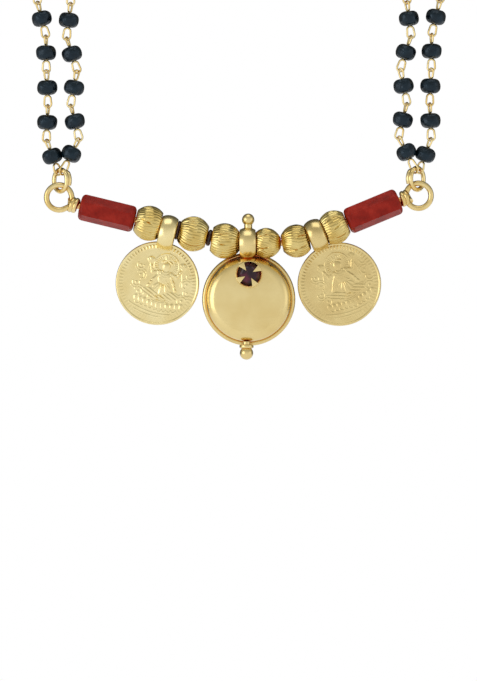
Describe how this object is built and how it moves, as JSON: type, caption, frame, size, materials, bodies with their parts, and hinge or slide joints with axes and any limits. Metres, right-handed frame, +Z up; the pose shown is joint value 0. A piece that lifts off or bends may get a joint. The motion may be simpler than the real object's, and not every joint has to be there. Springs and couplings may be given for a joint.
{
  "type": "necklace",
  "caption": "Necklace of paired bead chains and a wire bar strung with ribbed gold beads, coral tubes, coin drops and a cup pendant with a red stone",
  "frame": {"origin": "underside of the clasp at the nape, where the necklace hangs from a peg or a neck", "axes": "+Z up along the hanging necklace, -Y toward the person looking at its front, +X to that person's right"},
  "size_m": [0.0784, 0.0054, 0.2033],
  "materials": {
    "polished_gold": "polished",
    "coin_gold": "satin",
    "link_gold": "polished",
    "red_coral": "polished",
    "black_glass": "gloss",
    "red_stone": "gloss"
  },
  "bodies": {
    "necklace": {"front_wire": "polished_gold", "jump_ring_left": "link_gold", "jump_ring_right": "link_gold", "coral_tube_left": "red_coral", "coral_tube_right": "red_coral", "ribbed_bead_1": "polished_gold", "ribbed_bead_2": "polished_gold", "ribbed_bead_3": "polished_gold", "ribbed_bead_4": "polished_gold", "ribbed_bead_5": "polished_gold", "ribbed_bead_6": "polished_gold", "spacer_disc": "black_glass", "spacer_bead": "black_glass", "beads_outer_left": "black_glass", "beads_inner_left": "black_glass", "beads_outer_right": "black_glass", "beads_inner_right": "black_glass", "links_outer_left": "link_gold", "links_inner_left": "link_gold", "links_outer_right": "link_gold", "links_inner_right": "link_gold", "nape_beads": "black_glass", "nape_links": "link_gold", "back_outer_left": "black_glass", "back_inner_left": "black_glass", "back_outer_right": "black_glass", "back_inner_right": "black_glass", "end_ring_left": "link_gold", "end_ring_right": "link_gold", "clasp": "link_gold"},
    "cup": {"cup_pendant": "polished_gold", "cup_stone": "red_stone"},
    "left_coin": {"coin_left": "coin_gold"},
    "right_coin": {"coin_right": "coin_gold"}
  },
  "joints": [
    {"name": "cup_swing", "type": "hinge", "parent": "necklace", "child": "cup", "pos_m": [0.0013, 0, -0.18028], "axis": [1, 0, 0], "range_deg": [-30, 30]},
    {"name": "left_coin_swing", "type": "hinge", "parent": "necklace", "child": "left_coin", "pos_m": [-0.01054, 0, -0.17802], "axis": [0.972, 0, -0.2351], "range_deg": [-30, 30]},
    {"name": "right_coin_swing", "type": "hinge", "parent": "necklace", "child": "right_coin", "pos_m": [0.01161, 0, -0.17904], "axis": [0.9239, 0, 0.3827], "range_deg": [-30, 20]}
  ]
}
